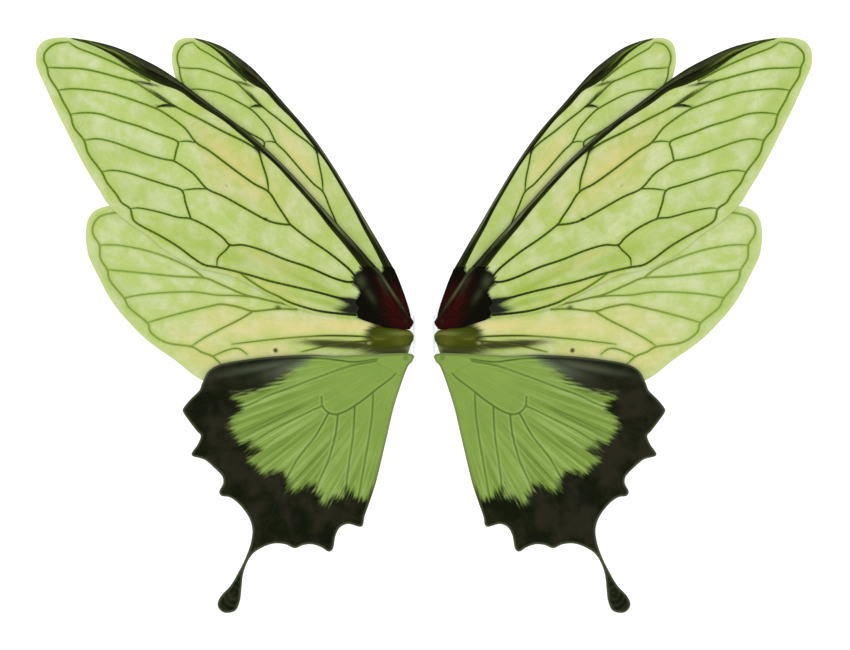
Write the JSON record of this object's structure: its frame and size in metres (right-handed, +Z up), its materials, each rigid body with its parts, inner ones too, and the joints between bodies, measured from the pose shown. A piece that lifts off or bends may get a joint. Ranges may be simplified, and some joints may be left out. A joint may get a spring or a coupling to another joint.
{
  "type": "fairy wings",
  "caption": "Translucent green insect-like costume wings with dark veins and swallowtail lower panels, fanned and folded on a clear back plate.",
  "frame": {"origin": "centre of the back plate's flat face that lies on the wearer's back", "axes": "+Z up, +Y towards the wearer, +X towards the wearer's right wing; the wings lie along X and Z on the -Y side"},
  "size_m": [1.009, 0.0154, 0.7478],
  "materials": {
    "clear_acrylic": "clear, polished",
    "steel": "bright",
    "root_plastic": "dark red to black, streaked",
    "olive_plastic": "olive, satin",
    "wing_film": "clear pale green film, satin",
    "spar_plastic": "black-green, satin",
    "vein_plastic": "olive, satin",
    "washer_plastic": "black, matt",
    "tail_fabric": "printed fabric, green with a black-green border"
  },
  "bodies": {
    "harness": {"back_plate": "clear_acrylic", "hinge_screws": "clear_acrylic", "left_fixed_hinge_leaf": "clear_acrylic", "left_hinge_pin": "clear_acrylic", "right_fixed_hinge_leaf": "clear_acrylic", "right_hinge_pin": "clear_acrylic"},
    "left_root": {"left_root_bracket": "clear_acrylic", "left_fore_rivet": "root_plastic", "left_hind_rivet": "olive_plastic", "left_tail_rivet": "tail_fabric", "left_rear_forewing_washer": "washer_plastic", "left_front_forewing_washer": "washer_plastic", "left_hindwing_spacer": "washer_plastic", "left_tail_wing_spacer": "washer_plastic", "left_fore_push_nut": "steel", "left_hind_push_nut": "steel", "left_tail_push_nut": "steel"},
    "left_rear_forewing": {"left_rear_forewing_film": "wing_film", "left_rear_forewing_spar": "spar_plastic", "left_rear_forewing_veins": "vein_plastic", "left_rear_forewing_root": "root_plastic"},
    "left_front_forewing": {"left_front_forewing_film": "wing_film", "left_front_forewing_spar": "spar_plastic", "left_front_forewing_veins": "vein_plastic", "left_front_forewing_root": "root_plastic"},
    "left_hindwing": {"left_hindwing_film": "wing_film", "left_hindwing_veins": "vein_plastic", "left_hindwing_root": "olive_plastic"},
    "left_tail_wing": {"left_tail_wing_panel": "tail_fabric", "left_tail_wing_veins": "spar_plastic", "left_tail_wing_root": "tail_fabric"},
    "right_root": {"right_root_bracket": "clear_acrylic", "right_fore_rivet": "root_plastic", "right_hind_rivet": "olive_plastic", "right_tail_rivet": "tail_fabric", "right_rear_forewing_washer": "washer_plastic", "right_front_forewing_washer": "washer_plastic", "right_hindwing_spacer": "washer_plastic", "right_tail_wing_spacer": "washer_plastic", "right_fore_push_nut": "steel", "right_hind_push_nut": "steel", "right_tail_push_nut": "steel"},
    "right_rear_forewing": {"right_rear_forewing_film": "wing_film", "right_rear_forewing_spar": "spar_plastic", "right_rear_forewing_veins": "vein_plastic", "right_rear_forewing_root": "root_plastic"},
    "right_front_forewing": {"right_front_forewing_film": "wing_film", "right_front_forewing_spar": "spar_plastic", "right_front_forewing_veins": "vein_plastic", "right_front_forewing_root": "root_plastic"},
    "right_hindwing": {"right_hindwing_film": "wing_film", "right_hindwing_veins": "vein_plastic", "right_hindwing_root": "olive_plastic"},
    "right_tail_wing": {"right_tail_wing_panel": "tail_fabric", "right_tail_wing_veins": "spar_plastic", "right_tail_wing_root": "tail_fabric"}
  },
  "joints": [
    {"name": "left_fold", "type": "hinge", "parent": "harness", "child": "left_root", "pos_m": [-0.013, -0.005, 0.002], "axis": [0, 0, 1], "range_deg": [0, 85]},
    {"name": "left_rear_forewing_fan", "type": "hinge", "parent": "left_root", "child": "left_rear_forewing", "pos_m": [-0.024, -0.008, 0.018], "axis": [0, -1, 0], "range_deg": [0, 50]},
    {"name": "left_front_forewing_fan", "type": "hinge", "parent": "left_root", "child": "left_front_forewing", "pos_m": [-0.024, -0.008, 0.018], "axis": [0, -1, 0], "range_deg": [0, 35]},
    {"name": "left_hindwing_fan", "type": "hinge", "parent": "left_root", "child": "left_hindwing", "pos_m": [-0.024, -0.008, -0.003], "axis": [0, -1, 0], "range_deg": [-20, 20]},
    {"name": "left_tail_wing_fan", "type": "hinge", "parent": "left_root", "child": "left_tail_wing", "pos_m": [-0.024, -0.008, -0.03], "axis": [0, 1, 0], "range_deg": [0, 35]},
    {"name": "right_fold", "type": "hinge", "parent": "harness", "child": "right_root", "pos_m": [0.013, -0.005, 0.002], "axis": [0, 0, -1], "range_deg": [0, 85]},
    {"name": "right_rear_forewing_fan", "type": "hinge", "parent": "right_root", "child": "right_rear_forewing", "pos_m": [0.024, -0.008, 0.018], "axis": [0, 1, 0], "range_deg": [0, 50]},
    {"name": "right_front_forewing_fan", "type": "hinge", "parent": "right_root", "child": "right_front_forewing", "pos_m": [0.024, -0.008, 0.018], "axis": [0, 1, 0], "range_deg": [0, 35]},
    {"name": "right_hindwing_fan", "type": "hinge", "parent": "right_root", "child": "right_hindwing", "pos_m": [0.024, -0.008, -0.003], "axis": [0, 1, 0], "range_deg": [-20, 20]},
    {"name": "right_tail_wing_fan", "type": "hinge", "parent": "right_root", "child": "right_tail_wing", "pos_m": [0.024, -0.008, -0.03], "axis": [0, -1, 0], "range_deg": [0, 35]}
  ]
}
